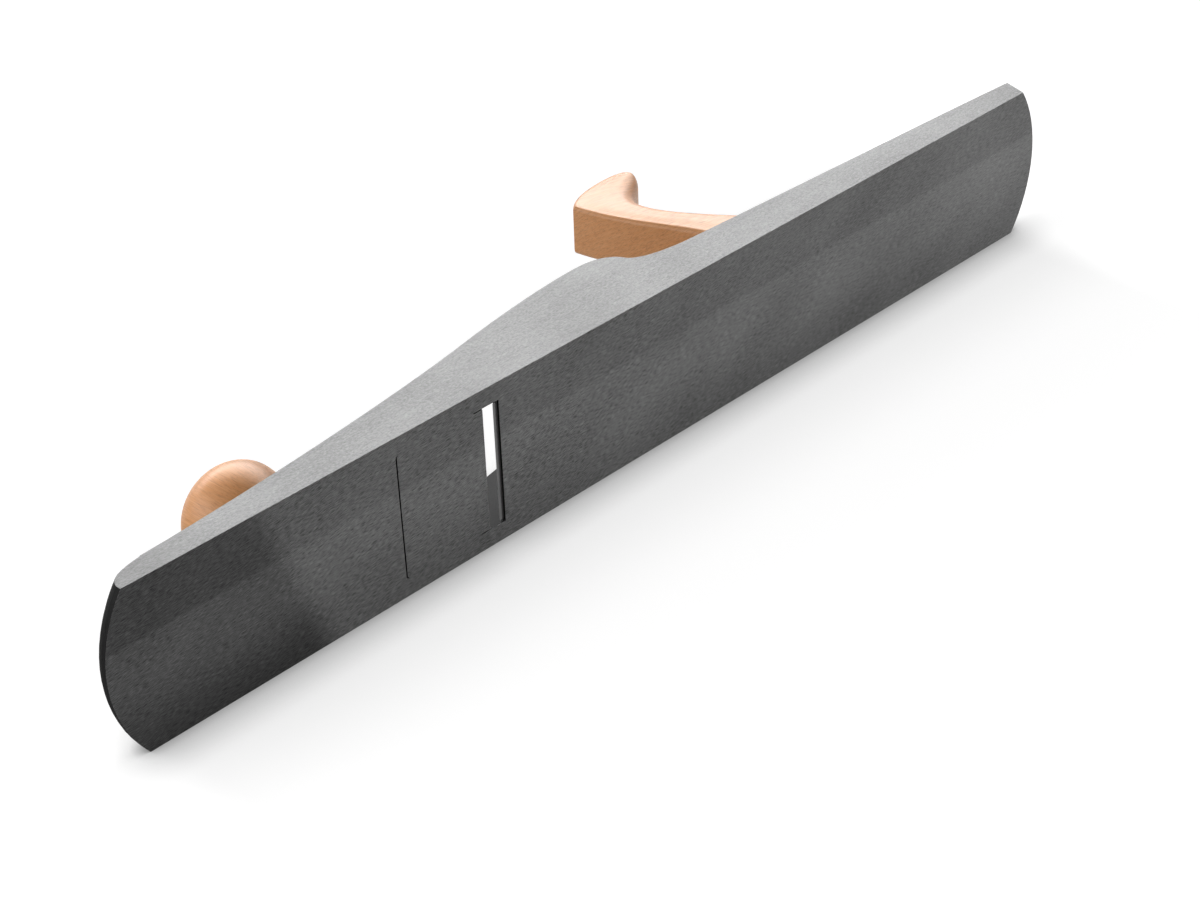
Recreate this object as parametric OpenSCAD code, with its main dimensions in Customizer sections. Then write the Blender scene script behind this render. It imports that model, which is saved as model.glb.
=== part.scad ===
// Bevel-up jointer plane with an adjustable mouth, lying on its right cheek.
// The modules work with the sole down: X runs to the heel, Y to the right, Z up.
// lay() then turns each piece onto the right cheek, with the centre of the sole at the origin.

/* [Body] */
// Length of the sole from end to end
body_l = 558.8; // [520:0.1:600]
// Width of the sole
body_w = 76.2; // [74:0.1:84]
// Thickness of the sole plate
sole_t = 6.5; // [6:0.1:7.5]
// Thickness of each cheek wall
cheek_t = 4.6; // [3.6:0.1:5.4]
// How far each rounded end bows out past its corners
end_bow = 12.4; // [8:0.1:16]
// Outward lean of the heel's end face in degrees
heel_lean = 15; // [0:1:18]
// Height of the square edge at the toe, under its rounding
toe_edge = 2.5; // [1.5:0.1:3]
// Height of the cheeks behind the toe's rounding
toe_h = 11.1; // [10:0.1:13]
// Height of the cheeks at the hump
hump_h = 41.2; // [39:0.1:44]
// How far the hump's top lies behind mid-length
hump_x = 4; // [-4:0.5:10]
// Height of the cheeks where the hump runs out
waist_h = 22.3; // [20:0.1:25]
// Height of the cheeks at the heel
heel_h = 12.2; // [11:0.1:14]
// Radius between the sole plate and the cheeks inside
inner_r = 3; // [2:0.1:4]

/* [Mouth and toe plate] */
// How far the rear edge of the mouth lies in front of mid-length
mouth_set = 83.2; // [75:0.1:90]
// Opening in front of the cutting edge
mouth_open = 5.95; // [4.5:0.05:8]
// Gap between the blade and each end of the mouth
mouth_side = 1.07; // [0.8:0.01:1.6]
// Length of the toe plate as seen in the sole
toe_plate_l = 45.5; // [42:0.1:52]
// Thickness of the toe plate's foot
foot_t = 6.4; // [6:0.1:6.9]
// Radius of the front corners of the toe plate
foot_r = 1.3; // [1:0.1:4]
// Room in front of the toe plate
front_gap = 0.7; // [0.6:0.1:1.2]
// Clearance on each side of the toe plate
slide_gap = 0.05; // [0.03:0.01:0.15]
// Extra relief at the rear corners of the toe plate
relief = 0.45; // [0.2:0.05:0.7]
// Length of that relief
relief_l = 5; // [3:0.5:8]
// How far the toe plate slides back to close the mouth
toe_travel = 2.6; // [2:0.1:3]
// Width of the toe plate's tail
tail_w = 30; // [26:0.5:34]
// Thickness of the tail
tail_t = 5.1; // [4.5:0.1:6]
// Length of the throat bar along the plane
bar_l = 18; // [14:0.5:20]
// Height of the throat bar above the sole
bar_h = 21.4; // [20.5:0.1:22]
// Height of the shoulders beside the throat
shoulder_h = 17; // [15:0.5:18]

/* [Blade] */
// Angle of the bed in degrees
bed_a = 12; // [11:0.5:14]
// Height of the blunt front edge of the bed
bed_lip = 1.1; // [0.9:0.1:1.6]
// How far the cutting edge reaches past the bed
edge_lead = 3; // [2.5:0.05:3.4]
// Width of the blade
blade_w = 57.15; // [54:0.05:60]
// Thickness of the blade
blade_t = 4.8; // [4:0.1:5.2]
// Length of the blade
blade_l = 148; // [146:0.5:150]
// Grinding angle of the bevel in degrees
bevel_a = 25; // [22:1:35]
// Radius of the blade's upper corners
blade_r = 19; // [10:0.5:24]
// Length of the blade's slot between its end centres
slot_l = 30; // [26:0.5:31]
// Width of the blade's slot
slot_w = 11.6; // [11.2:0.1:12.4]

/* [Lever cap] */
// How far the cap's nose stays behind the cutting edge
nose_back = 13; // [11:0.5:16]
// Width of the cap at its nose
cap_w = 54; // [48:0.5:56]
// Width of the cap at its rear end
cap_end_w = 26; // [24:0.5:30]
// Height of the cap above the blade
cap_h = 9.3; // [8.8:0.1:10.5]
// Distance from the bed's front edge to the hold-down screw, along the bed
screw_s = 81; // [79:0.5:83]
// Distance from the hold-down screw to the cap wheel
wheel_step = 29; // [28:0.5:30]
// Radius of the hold-down screw
screw_r = 3.5; // [3:0.1:3.8]
// Radius of the hold-down screw's head
screw_head_r = 5.2; // [4.8:0.1:5.4]
// Radius of the cap wheel
cap_wheel_r = 11; // [9:0.5:12]
// Thickness of the cap wheel
cap_wheel_t = 8; // [6:0.5:10]

/* [Adjuster] */
// Distance from the blade's rear end to the adjuster pin
pin_back = 18; // [16:0.5:19]
// Radius of the adjuster pin
pin_r = 3.2; // [2.6:0.1:3.6]
// Distance from the pin to the pivot post
post_step = 17.1; // [16.6:0.1:18.5]
// Radius of the pivot post's head
post_r = 7; // [6:0.1:7.4]
// Radius of the pivot post's journal
journal_r = 5; // [4:0.1:5.4]
// Radius of the spindle
spindle_r = 3; // [2.5:0.1:3.4]
// Depth of the spindle's axis below the bed
spindle_d = 6.5; // [6.2:0.1:7]
// Width of the travelling nut
nut_w = 13; // [11:0.5:14]
// Length of the travelling nut
nut_l = 11; // [9:0.5:11.5]
// How far the blade feeds each way
feed = 3; // [2:0.1:3.2]
// Radius of the adjuster wheel
wheel_r = 12; // [10:0.5:12.5]
// Thickness of the adjuster wheel
wheel_t = 8; // [6:0.5:9]

/* [Front knob] */
// How far the knob's axis lies in front of mid-length
knob_set = 181.3; // [178:0.1:186]
// Largest radius of the knob
knob_r = 23.7; // [21:0.1:25]
// Height of the knob's widest place above the sole
knob_mid = 50; // [46:0.5:54]
// Height of the knob's top above the sole
knob_top = 67.4; // [63:0.1:72]
// Radius of the knob's neck
neck_r = 13.2; // [12.5:0.1:15]
// Radius of the knob's base
knob_base_r = 17; // [16:0.1:18]
// Radius of the knob's stud
stud_r = 4; // [3.5:0.1:4.5]

/* [Rear handle] */
// Thickness of the handle
handle_t = 26; // [24:0.5:28]
// Height of the pad that the handle stands on, above the sole
seat_h = 9; // [8.2:0.1:10]
// Gap between the adjuster wheel and the handle's foot
grip_gap = 5.1; // [4:0.1:8]
// Length of the handle's foot
grip_l = 78.6; // [76:0.1:84]
// Distance from the front of the handle's foot to its rod
rod_set = 35.9; // [35:0.1:37]
// Lean of the handle rod in degrees
rod_lean = 14.3; // [13.8:0.1:14.8]
// Radius of the handle rod
rod_r = 2.6; // [2.2:0.1:3]
// Distance from the front of the handle's foot to the foot screw
foot_set = 8.6; // [8:0.1:9.2]
// Radius of the foot screw
foot_screw_r = 2.4; // [2:0.1:2.6]

/* [Hidden] */

// Smoothness of the turned pieces
fine = 64;
// Running clearance of a shaft in its bore
run_gap = 0.05;
// Clearance between faces that slide on each other
face_gap = 0.05;
// Overshoot of a cut past the face it opens
over = 1;

// Ends, cheeks and floor
half_l = body_l / 2;
half_w = body_w / 2;
end_r = (half_w * half_w + end_bow * end_bow) / (2 * end_bow);
inner_w = body_w - 2 * cheek_t;
tall = hump_h + 20;

// The cheeks' upper edge: each stretch is a cubic Bezier curve
rise_x = -70;
rise_h = 32.1;
fall_x = 22.6;
fall_h = 32.4;
waist_x = 52;
cheek_rise = [[-250, toe_h], [-199, toe_h + 2.3], [rise_x - 50, rise_h - 10.2], [rise_x, rise_h]];
cheek_crest = [[rise_x, rise_h], [rise_x + 20, rise_h + 4], [hump_x - 20.6, hump_h], [hump_x, hump_h]];
cheek_fall = [[hump_x, hump_h], [hump_x + 14.7, hump_h], [fall_x - 0.3, fall_h + 0.8], [fall_x, fall_h]];
waist_pull = 64;
heel_pull = 59.6;
heel_x = half_l - 7.4;
cheek_scoop = [
    [fall_x, fall_h], [fall_x + 2, fall_h - 6],
    [waist_x - 13.4, waist_h + 0.9], [waist_x, waist_h]
];
cheek_tail = [
    [waist_x, waist_h], [waist_x + waist_pull, waist_h - 3.4],
    [heel_x - heel_pull, heel_h + 3.6], [heel_x, heel_h]
];

// Mouth, toe plate and tail, along the plane
mouth_x = -mouth_set;
mouth_w = blade_w + 2 * mouth_side;
edge_x = mouth_x - edge_lead * cos(bed_a);
plate_x1 = edge_x - mouth_open;
plate_x0 = plate_x1 - toe_plate_l;
opening_x0 = plate_x0 - front_gap;
foot_w = mouth_w - 2 * slide_gap;
bar_x0 = opening_x0 + 2.3;
bar_z0 = foot_t + 0.2;
tail_top = sole_t + slide_gap + tail_t;
tail_back = 24;
tail_x0 = -knob_set - tail_back;
tail_x1 = bar_x0 + bar_l + 7;
guide_w = 4;
guide_h = 0.6;

// Stop screw, in a lug that stands on the tail
stop_r = 3;
stop_head_r = 6;
stop_head_t = 7;
stop_z = tail_top + stop_head_r + 0.4;
lug_t = 5;
lug_w = 14;
stop_tip = bar_x0 - toe_travel - 0.1;
lug_x1 = stop_tip - 5;

// Blade and cap, in the bed's own directions: s along the bed, n square to it
blade_n = face_gap;
blade_top = blade_n + blade_t;
edge_s = -edge_lead;
blade_end = edge_s + blade_l;
pin_s = blade_end - pin_back;
slot_s0 = screw_s - slot_l / 2;
cap_gap = 0.15;
cap_n = blade_top + cap_gap;
cap_s0 = edge_s + nose_back;
wheel_s = screw_s + wheel_step;
cap_s1 = wheel_s + 9;
cap_top = blade_top + cap_h;
arch_n = blade_top + 3.4;
boss_top = cap_top - 1.8;
recess_n = cap_top - 2;
key_step = 9;
head_t = 3;
pad_r = 5;
pad_t = 1.4;
cap_screw_r = 3.4;

// Bed block and adjuster
bed_end_s = 128;
bed_slot_w = nut_w + 5.5;
bed_slot_s0 = pin_s - nut_l / 2 - feed - 8;
bed_slot_n = -spindle_d - 7.5;
post_s = pin_s + post_step;
post_top = -1;
post_seat = -spindle_d - 7;
post_foot = post_seat - 10.8;
post_flat = post_r - 1;
hub_t = 3;
boss_r = post_flat + hub_t - 0.2;
nut_top = -0.6;
nut_bottom = -spindle_d - 5.5;
pin_top = blade_top - 0.5;
collar_t = 1.3;
collar_r = 4.6;
hub_r = 5.6;
wheel_s0 = post_s + post_flat + 0.1 + hub_t;
spindle_s0 = pin_s - nut_l / 2 - feed - 1.6;
grub_r = 1.2;

// Knob and its stud
knob_x = -knob_set;
washer_t = 1.4;
washer_r = 12;
knob_z = tail_top + face_gap + washer_t + face_gap;
stud_foot = 1.5;
insert_r = 7;
insert_flange_r = 10.5;
insert_flange_t = 2.5;
insert_top = knob_z + 22;

// Place of the handle, behind the adjuster wheel
wheel_back = mouth_x + (wheel_s0 + wheel_t) * cos(bed_a) + (spindle_d + wheel_r) * sin(bed_a);
grip_x = wheel_back + grip_gap;
rod_x = grip_x + rod_set;
foot_screw_x = grip_x + foot_set;

// Handle: outline stretches as [start, pull, pull, end, edge at start, edge at end],
// from the front of its foot; an edge is how far its rounding reaches
// [across the thickness, into the outline]
nose = [-8.6, 116];
handle_side = [
    [[4.6, seat_h], [1.2, seat_h], [0, 11], [0, 15], [2, 2], [2, 2]],
    [[0, 15], [0, 27], [14.4, 24], [15.2, 43], [2, 2], [5, 5]],
    [[15.2, 43], [15.8, 60], [-5, 84], nose, [5, 5], [2.5, 1.8]],
    [nose, [-3.8, 121.4], [5.6, 128.6], [17.6, 129.8], [2.5, 1.8], [10, 6]],
    [[17.6, 129.8], [29.6, 130.7], [38.4, 128], [38.6, 120.6], [10, 6], [12, 4.2]],
    [[38.6, 120.6], [38.1, 113.5], [22.1, 111], [20.9, 99], [12, 4.2], [11.5, 9]],
    [[20.9, 99], [19.4, 84], [42.6, 58], [55.6, 38], [11.5, 9], [11, 10]],
    [[55.6, 38], [61.6, 28], [74.6, 28], [grip_l - 1, 20], [11, 10], [4, 3]],
    [[grip_l - 1, 20], [grip_l + 0.6, 16], [grip_l + 0.6, seat_h], [grip_l - 4, seat_h], [4, 3], [2, 2]]
];
handle_crown = 0.4;
handle_steps = 6;
handle_rings = 4;
rod_foot = 6;
rod_l = 104;
nut_head_r = 5.5;
nut_head_t = 5;
nut_barrel_r = 3.9;
nut_seat = 110;
barrel_l = 16;
foot_screw_seat = 19.5;
foot_head_r = 4.6;
foot_head_t = 2.6;
thread_foot = 1.8;

// Point at t on a cubic Bezier curve
function curve(c, t) =
    pow(1 - t, 3) * c[0] + 3 * t * pow(1 - t, 2) * c[1] + 3 * t * t * (1 - t) * c[2] + pow(t, 3) * c[3];

// Points along a curve, without its end
function along(c, n) = [for (i = [0:n - 1]) curve(c, i / n)];

// Points on an arc about a centre, ends included
function turn(r, a) = r * [cos(a), sin(a)];
function arc(c, r, a0, a1, n) = [for (i = [0:n]) c + turn(r, a0 + (a1 - a0) * i / n)];

// Turn a piece from its sole onto its right cheek
module lay() {
    rotate([-90, 0, 0])
        children();
}

// Directions of the bed: X along it to the heel, Z square to it
module on_bed() {
    translate([mouth_x, 0, bed_lip])
        rotate([0, -bed_a, 0])
            children();
}

// Solid from an outline in X and Z, centred across the plane
module across(width) {
    rotate([90, 0, 0])
        linear_extrude(width, center = true)
            children();
}

// Disc with a fluted rim, along Z from 0
module fluted_wheel(r, t, flutes, depth) {
    rim = [for (i = [0:2 * flutes - 1]) turn(i % 2 == 0 ? r : r - depth, 180 * i / flutes)];
    intersection() {
        linear_extrude(t)
            polygon(rim);
        rotate_extrude($fn = fine)
            polygon([[0, 0], [r - 1, 0], [r + 0.01, 1], [r + 0.01, t - 1], [r - 1, t], [0, t]]);
    }
}

// Slot outline with round ends, from one end centre to the other along X
module slot_outline(x0, x1, w) {
    translate([x0, -w / 2])
        square([x1 - x0, w]);
    for (x = [x0, x1])
        translate([x, 0])
            circle(w / 2, $fn = fine);
}

// Side view of the cheeks
module cheek_outline() {
    polygon(concat(
        [[-half_l - over, 0], [-half_l - over, toe_h - 2.4]],
        along(cheek_rise, 16), along(cheek_crest, 12), along(cheek_fall, 12),
        along(cheek_scoop, 12), along(cheek_tail, 10),
        [[half_l - 7.4, heel_h], [half_l + 10, heel_h - 1], [half_l + 10, 0]]
    ));
}

// Toe end, turned about the centre of its arc, with the rounding of its upper edge
module toe_end() {
    nose_curve = [
        [end_r, toe_edge], [end_r - 0.6, toe_edge + 4.7],
        [end_r - 4.5, toe_h - 1.8], [end_r - 12.5, toe_h - 0.3]
    ];
    translate([end_r - half_l, 0, 0])
        rotate_extrude($fn = 4 * fine)
            polygon(concat(
                [[0, 0], [end_r, 0]], along(nose_curve, 8),
                [[end_r - 12.5, toe_h - 0.3], [end_r - 14, tall], [0, tall]]
            ));
}

// Heel end, whose face leans outward
module heel_end() {
    translate([half_l - end_r, 0, 0])
        cylinder(h = tall, r1 = end_r, r2 = end_r + tall * tan(heel_lean), $fn = 4 * fine);
}

// The body before it is hollowed
module body_block() {
    intersection() {
        across(body_w)
            cheek_outline();
        union() {
            toe_end();
            heel_end();
            translate([end_r - half_l, -half_w, 0])
                cube([body_l - 2 * end_r, body_w, tall]);
        }
    }
}

// Trough between the cheeks, with filleted corners along the sole
module trough() {
    w = inner_w / 2;
    translate([-half_l - 2 * over, 0, 0])
        rotate([90, 0, 90])
            linear_extrude(body_l + 30)
                polygon(concat(
                    arc([w - inner_r, sole_t + inner_r], inner_r, -90, 0, 6),
                    [[w, tall + over], [-w, tall + over]],
                    arc([inner_r - w, sole_t + inner_r], inner_r, 180, 270, 6)
                ));
}

// Sloping bed with the shoulders on both sides of the throat
module bed_block() {
    bed_end = bed_end_s * [cos(bed_a), sin(bed_a)] + [mouth_x, bed_lip];
    across(inner_w + cheek_t)
        polygon([[mouth_x, 0], [mouth_x, bed_lip], bed_end, [bed_end[0], 0]]);
    for (side = [-1, 1])
        translate([opening_x0 - 6, side > 0 ? mouth_w / 2 : -half_w + cheek_t / 2, 0])
            cube([bed_end[0] - opening_x0 + 6, half_w - mouth_w / 2 - cheek_t / 2, shoulder_h]);
}

// Throat bar across the toe plate, between the cheeks
module throat_bar() {
    r = 4;
    across(inner_w + cheek_t)
        polygon(concat(
            [[bar_x0, bar_z0], [bar_x0 + bar_l, bar_z0]],
            arc([bar_x0 + bar_l - r, bar_h - r], r, 0, 90, 6), arc([bar_x0 + r, bar_h - r], r, 90, 180, 6)
        ));
}

// Ribs that guide the tail on the floor of the toe
module tail_guides() {
    for (side = [-1, 1])
        translate([tail_x0 - 3, side * (tail_w / 2 + slide_gap + guide_w / 2) - guide_w / 2, 0])
            cube([opening_x0 - tail_x0 + 3, guide_w, tail_top + guide_h]);
}

// Pad under the handle
module handle_pad() {
    w = handle_t - 2;
    linear_extrude(seat_h)
        slot_outline(grip_x + w / 2, grip_x + grip_l + 2 - w / 2, w);
}

// Boss that carries the pivot post, square to the bed
module post_boss() {
    on_bed()
        translate([post_s, 0, post_foot - 20])
            cylinder(h = post_seat - post_foot + 20, r = boss_r, $fn = fine);
}

// Opening of the toe plate in the sole, with rounded front corners
module toe_opening() {
    r = foot_r + slide_gap;
    w = mouth_w / 2;
    translate([0, 0, -over])
        linear_extrude(bar_z0 + over)
            polygon(concat(
                arc([opening_x0 + r, r - w], r, 180, 270, 6), [[mouth_x, -w], [mouth_x, w]],
                arc([opening_x0 + r, w - r], r, 90, 180, 6)
            ));
}

// Face of the bed where it runs down through the sole plate, between the shoulders
module bed_face() {
    on_bed()
        translate([-edge_lead, -mouth_w / 2, 0])
            cube([edge_lead + sole_t / sin(bed_a), mouth_w, shoulder_h]);
}

// Recess in the bed for the travelling nut
module bed_slot() {
    on_bed()
        translate([bed_slot_s0, -bed_slot_w / 2, bed_slot_n])
            cube([bed_end_s - bed_slot_s0 + 2, bed_slot_w, 20 - bed_slot_n]);
}

// Lightening pocket under the blade
module bed_pocket() {
    translate([-60, 0, sole_t])
        linear_extrude(tall)
            slot_outline(16, 30, 32);
}

module body_casting() {
    color("dimgray")
        lay()
            difference() {
                union() {
                    difference() {
                        body_block();
                        trough();
                    }
                    intersection() {
                        body_block();
                        union() {
                            bed_block();
                            throat_bar();
                            tail_guides();
                            handle_pad();
                            post_boss();
                        }
                    }
                }
                toe_opening();
                bed_face();
                bed_slot();
                bed_pocket();
                translate([opening_x0 - over, -tail_w / 2 - slide_gap, bar_z0 - over])
                    cube([
                        bar_l + 2 * over + 4, tail_w + 2 * slide_gap,
                        tail_top - bar_z0 + slide_gap + over
                    ]);
                translate([knob_x, 0, stud_foot])
                    cylinder(h = sole_t, r = stud_r, $fn = fine);
                on_bed()
                    translate([screw_s, 0, -12])
                        cylinder(h = 20, r = screw_r, $fn = fine);
                on_bed()
                    translate([post_s, 0, post_foot - 0.3])
                        cylinder(h = 20, r = journal_r + run_gap, $fn = fine);
                translate([rod_x, 0, seat_h])
                    rotate([0, -rod_lean, 0])
                        translate([0, 0, -rod_foot])
                            cylinder(h = 20, r = rod_r, $fn = fine);
                translate([foot_screw_x, 0, thread_foot])
                    cylinder(h = 20, r = foot_screw_r, $fn = fine);
            }
}

// Foot of the toe plate as seen in the sole
module foot_outline() {
    w = foot_w / 2;
    polygon(concat(
        arc([plate_x0 + foot_r, foot_r - w], foot_r, 180, 270, 6),
        [[plate_x1 - relief_l, -w], [plate_x1 - relief_l + relief, relief - w], [plate_x1, relief - w]],
        [[plate_x1, w - relief], [plate_x1 - relief_l + relief, w - relief], [plate_x1 - relief_l, w]],
        arc([plate_x0 + foot_r, w - foot_r], foot_r, 90, 180, 6)
    ));
}

module toe_plate() {
    color("dimgray")
        lay()
            difference() {
                union() {
                    linear_extrude(foot_t)
                        foot_outline();
                    translate([plate_x0 + 1, -tail_w / 2, 0])
                        cube([tail_x1 - plate_x0 - 1, tail_w, tail_top]);
                    translate([0, 0, sole_t + slide_gap])
                        linear_extrude(tail_t)
                            intersection() {
                                slot_outline(tail_x0 + tail_w / 2, tail_x1, tail_w);
                                translate([tail_x0 - over, -tail_w / 2])
                                    square([tail_x1 - tail_x0 + over, tail_w]);
                            }
                    translate([lug_x1 - lug_t, 0, tail_top - over])
                        rotate([90, 0, 90])
                            linear_extrude(lug_t)
                                polygon(concat(
                                    [[-lug_w / 2, 0], [lug_w / 2, 0]],
                                    arc([0, stop_z - tail_top + over], lug_w / 2 - 1, 0, 180, 16)
                                ));
                }
                translate([0, 0, sole_t])
                    linear_extrude(tail_t + 2 * over)
                        slot_outline(knob_x - toe_travel - 0.3, knob_x + front_gap, 2 * stud_r + 0.6);
                translate([lug_x1 - lug_t - over, 0, stop_z])
                    rotate([0, 90, 0])
                        cylinder(h = lug_t + 2 * over, r = stop_r + run_gap, $fn = fine);
            }
}

module toe_stop_screw() {
    color("goldenrod")
        lay()
            translate([0, 0, stop_z])
                rotate([0, 90, 0])
                    union() {
                        translate([0, 0, lug_x1 - lug_t - 0.2 - stop_head_t])
                            fluted_wheel(stop_head_r, stop_head_t, 30, 0.5);
                        translate([0, 0, lug_x1 - lug_t - 1])
                            cylinder(h = stop_tip - lug_x1 + lug_t + 1, r = stop_r, $fn = fine);
                    }
}

module knob_stud() {
    color("silver")
        lay()
            translate([knob_x, 0, stud_foot])
                cylinder(h = insert_top - 3 - stud_foot, r = stud_r, $fn = fine);
}

module knob_washer() {
    color("silver")
        lay()
            translate([knob_x, 0, tail_top + face_gap])
                difference() {
                    cylinder(h = washer_t, r = washer_r, $fn = fine);
                    translate([0, 0, -over])
                        cylinder(h = washer_t + 2 * over, r = stud_r + run_gap, $fn = fine);
                }
}

module knob_insert() {
    color("goldenrod")
        lay()
            translate([knob_x, 0, knob_z])
                difference() {
                    union() {
                        cylinder(h = insert_flange_t, r = insert_flange_r, $fn = fine);
                        cylinder(h = insert_top - knob_z, r = insert_r, $fn = fine);
                    }
                    translate([0, 0, -over])
                        cylinder(h = insert_top - knob_z, r = stud_r + run_gap, $fn = fine);
                }
}

module front_knob() {
    neck_z = knob_z + 13;
    foot = [
        [knob_base_r - 1.5, knob_z], [knob_base_r + 0.8, knob_z + 1],
        [knob_base_r + 0.4, knob_z + 5.5], [knob_base_r - 1.2, knob_z + 6.5]
    ];
    sweep = [[knob_base_r - 1.2, knob_z + 6.5], [neck_r, knob_z + 8], [neck_r, neck_z - 2], [neck_r, neck_z]];
    swell = [[neck_r, neck_z], [neck_r, neck_z + 8], [knob_r, knob_mid - 12], [knob_r, knob_mid]];
    dome = [for (i = [1:15]) [knob_r * cos(6 * i), knob_mid + (knob_top - knob_mid) * sin(6 * i)]];
    color("burlywood")
        lay()
            translate([knob_x, 0, 0])
                difference() {
                    rotate_extrude($fn = 2 * fine)
                        polygon(concat(
                            [[0, knob_z]], along(foot, 6), along(sweep, 6), along(swell, 10),
                            [[knob_r, knob_mid]], dome
                        ));
                    translate([0, 0, knob_z - over])
                        cylinder(h = insert_flange_t + over, r = insert_flange_r, $fn = fine);
                    translate([0, 0, knob_z - over])
                        cylinder(h = insert_top - knob_z + over, r = insert_r, $fn = fine);
                }
}

// Blade as seen from above, with rounded upper corners
module blade_plan() {
    w = blade_w / 2;
    difference() {
        polygon(concat(
            [[edge_s, -w]], arc([blade_end - blade_r, blade_r - w], blade_r, -90, 0, 12),
            arc([blade_end - blade_r, w - blade_r], blade_r, 0, 90, 12), [[edge_s, w]]
        ));
        slot_outline(slot_s0, slot_s0 + slot_l, slot_w);
    }
}

module blade() {
    color("silver")
        lay()
            on_bed()
                difference() {
                    intersection() {
                        linear_extrude(blade_top + over)
                            blade_plan();
                        across(blade_w + over)
                            polygon([
                                [edge_s, blade_n], [blade_end + over, blade_n], [blade_end + over, blade_top],
                                [edge_s + blade_t / tan(bevel_a), blade_top]
                            ]);
                    }
                    translate([pin_s, 0, -over])
                        cylinder(h = blade_top + 2 * over, r = pin_r + run_gap, $fn = fine);
                }
}

// Lever cap seen from the side, arched between its nose and its rear boss
module cap_profile() {
    top = [[cap_s0, cap_n + 0.8], [cap_s0 + 5, cap_n + 5], [cap_s0 + 18, cap_top], [cap_s0 + 42, cap_top]];
    drop = [
        [screw_s + 8, cap_top], [screw_s + 12, cap_top],
        [screw_s + 11, boss_top], [screw_s + 15, boss_top]
    ];
    under = [
        [screw_s + 18, arch_n - 1], [screw_s + 10, arch_n + 0.6],
        [cap_s0 + 30, arch_n + 0.6], [cap_s0 + 7, cap_n]
    ];
    polygon(concat(
        [[cap_s0, cap_n]], along(top, 10), [[cap_s0 + 42, cap_top]],
        along(drop, 6), [[screw_s + 15, boss_top]],
        [[cap_s1, boss_top], [cap_s1, arch_n - 1]], along(under, 10), [[cap_s0 + 7, cap_n]]
    ));
}

// Lever cap seen from above, tapering from its nose to a round end
module cap_plan() {
    a = cap_w / 2;
    b = cap_end_w / 2;
    left = [[cap_s0 + 14, a], [cap_s0 + 40, a], [cap_s1 - b - 36, b], [cap_s1 - b, b]];
    side = along(left, 12);
    polygon(concat(
        [[cap_s0, -a], [cap_s0, a]], side, arc([cap_s1 - b, 0], b, 90, -90, 18),
        [for (i = [len(side) - 1:-1:0]) [side[i][0], -side[i][1]]]
    ));
}

module lever_cap() {
    color("gray")
        lay()
            on_bed()
                difference() {
                    intersection() {
                        across(cap_w + over)
                            cap_profile();
                        linear_extrude(tall)
                            cap_plan();
                    }
                    linear_extrude(tall)
                        slot_outline(screw_s - key_step, screw_s + 0.2, 2 * screw_r + 0.4);
                    translate([screw_s - key_step, 0, 0])
                        cylinder(h = tall, r = screw_head_r + 0.4, $fn = fine);
                    translate([0, 0, recess_n])
                        linear_extrude(tall)
                            slot_outline(screw_s - key_step, screw_s + 0.2, 2 * screw_head_r + 0.8);
                    translate([wheel_s, 0, 0])
                        cylinder(h = tall, r = cap_screw_r + run_gap, $fn = fine);
                }
}

module lever_cap_screw() {
    color("silver")
        lay()
            on_bed()
                translate([screw_s, 0, 0])
                    difference() {
                        union() {
                            translate([0, 0, -12])
                                cylinder(h = recess_n + face_gap + 12, r = screw_r, $fn = fine);
                            translate([0, 0, recess_n + face_gap])
                                cylinder(h = head_t, r = screw_head_r, $fn = fine);
                        }
                        translate([-screw_head_r - over, -0.7, recess_n + face_gap + head_t - 1.2])
                            cube([2 * (screw_head_r + over), 1.4, 1.2 + over]);
                    }
}

module cap_wheel() {
    color("goldenrod")
        lay()
            on_bed()
                translate([wheel_s, 0, 0]) {
                    translate([0, 0, boss_top + 0.4])
                        fluted_wheel(cap_wheel_r, cap_wheel_t, 44, 0.6);
                    translate([0, 0, cap_n + pad_t])
                        cylinder(h = boss_top + 1 - cap_n - pad_t, r = cap_screw_r, $fn = fine);
                }
}

module cap_pad() {
    color("goldenrod")
        lay()
            on_bed()
                translate([wheel_s, 0, cap_n])
                    cylinder(h = pad_t, r = pad_r, $fn = fine);
}

module adjuster_post() {
    color("silver")
        lay()
            on_bed()
                translate([post_s, 0, 0])
                    difference() {
                        union() {
                            intersection() {
                                translate([0, 0, post_seat + face_gap])
                                    cylinder(h = post_top - post_seat - face_gap, r = post_r, $fn = fine);
                                translate([-post_flat, -post_r - over, post_seat])
                                    cube([2 * post_flat, 2 * (post_r + over), post_top - post_seat]);
                            }
                            translate([0, 0, post_foot])
                                cylinder(h = post_seat - post_foot + 1, r = journal_r, $fn = fine);
                        }
                        translate([-post_r - over, 0, -spindle_d])
                            rotate([0, 90, 0])
                                cylinder(h = 2 * (post_r + over), r = spindle_r + run_gap, $fn = fine);
                    }
}

module adjuster_spindle() {
    color("silver")
        lay()
            on_bed()
                translate([spindle_s0, 0, -spindle_d])
                    rotate([0, 90, 0])
                        cylinder(h = wheel_s0 + wheel_t - spindle_s0, r = spindle_r, $fn = fine);
}

module thrust_collar() {
    color("silver")
        lay()
            on_bed()
                translate([post_s - post_flat - 0.1 - collar_t, 0, -spindle_d])
                    rotate([0, 90, 0])
                        difference() {
                            cylinder(h = collar_t, r = collar_r, $fn = fine);
                            translate([0, 0, -over])
                                cylinder(h = collar_t + 2 * over, r = spindle_r, $fn = fine);
                        }
}

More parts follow.
